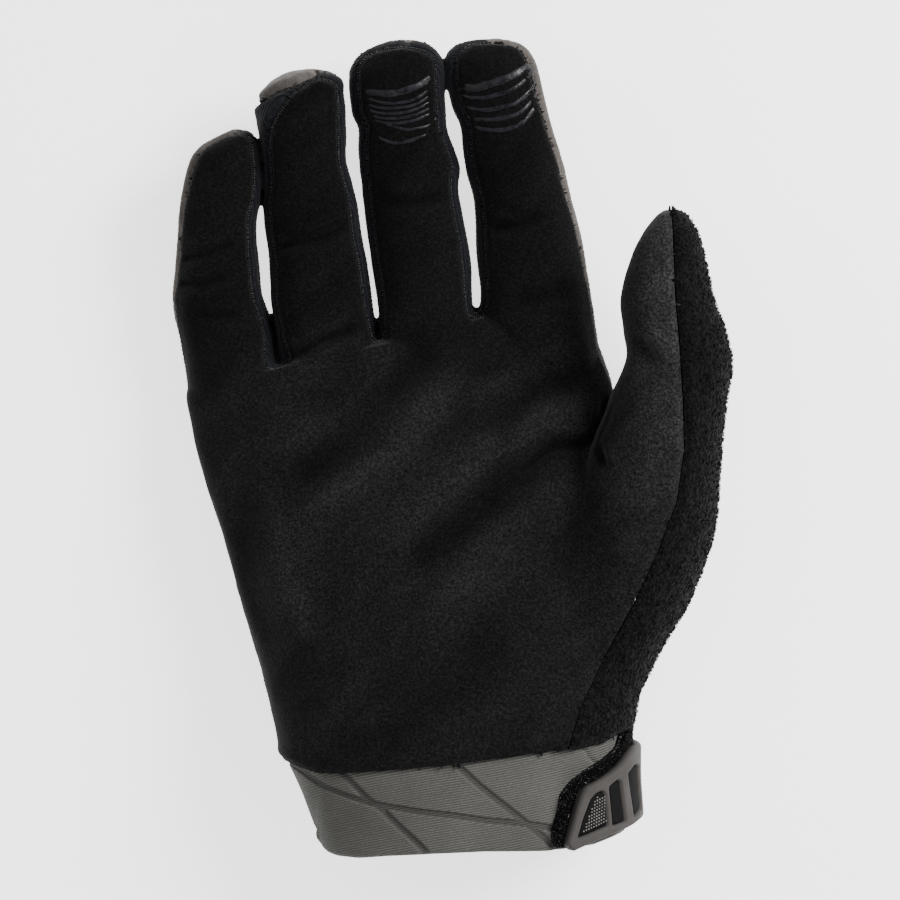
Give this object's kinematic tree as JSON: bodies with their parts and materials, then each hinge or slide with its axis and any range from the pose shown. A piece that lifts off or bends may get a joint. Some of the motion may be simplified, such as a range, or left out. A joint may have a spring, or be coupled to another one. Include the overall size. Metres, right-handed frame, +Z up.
{
  "type": "cycling glove",
  "caption": "Right-hand full-finger cycling glove lying palm up: black suede palm, ribbed finger gussets, terry thumb and a grey cuff with a strap and pull tab.",
  "frame": {"origin": "centre of the bounding box in plan, on the surface that the glove's back rests on", "axes": "+X towards the thumb's side, +Y towards the fingertips, +Z up, out of the palm"},
  "size_m": [0.1468, 0.2142, 0.0442],
  "materials": {
    "suede": "matt black synthetic suede with a short nap",
    "stretch_fabric": "matt taupe-grey stretch fabric",
    "ribbed_fabric": "blue-black ribbed stretch fabric",
    "terry": "black looped terry",
    "cuff_knit": "grey twill-ribbed knit",
    "hook_tape": "black hook tape with fine hooks",
    "moulded_rubber": "matt moulded grey rubber",
    "window_rubber": "semi-matt black rubber",
    "grip_print": "glossy black silicone print"
  },
  "bodies": {
    "root": {"palm_panel": "suede", "back_panel": "stretch_fabric", "pinky_ring_gusset": "ribbed_fabric", "ring_middle_gusset": "ribbed_fabric", "middle_index_gusset": "ribbed_fabric", "thumb_terry_panel": "terry", "cuff": "cuff_knit", "strap": "cuff_knit", "hook_patch": "hook_tape", "pull_tab": "moulded_rubber", "tab_window_dotted": "window_rubber", "tab_window_middle": "window_rubber", "tab_window_side": "window_rubber", "index_grip_1": "grip_print", "index_grip_2": "grip_print", "index_grip_3": "grip_print", "index_grip_4": "grip_print", "index_grip_5": "grip_print", "middle_grip_1": "grip_print", "middle_grip_2": "grip_print", "middle_grip_3": "grip_print", "middle_grip_4": "grip_print", "middle_grip_5": "grip_print", "middle_grip_6": "grip_print", "middle_grip_7": "grip_print", "middle_grip_8": "grip_print"}
  },
  "joints": []
}
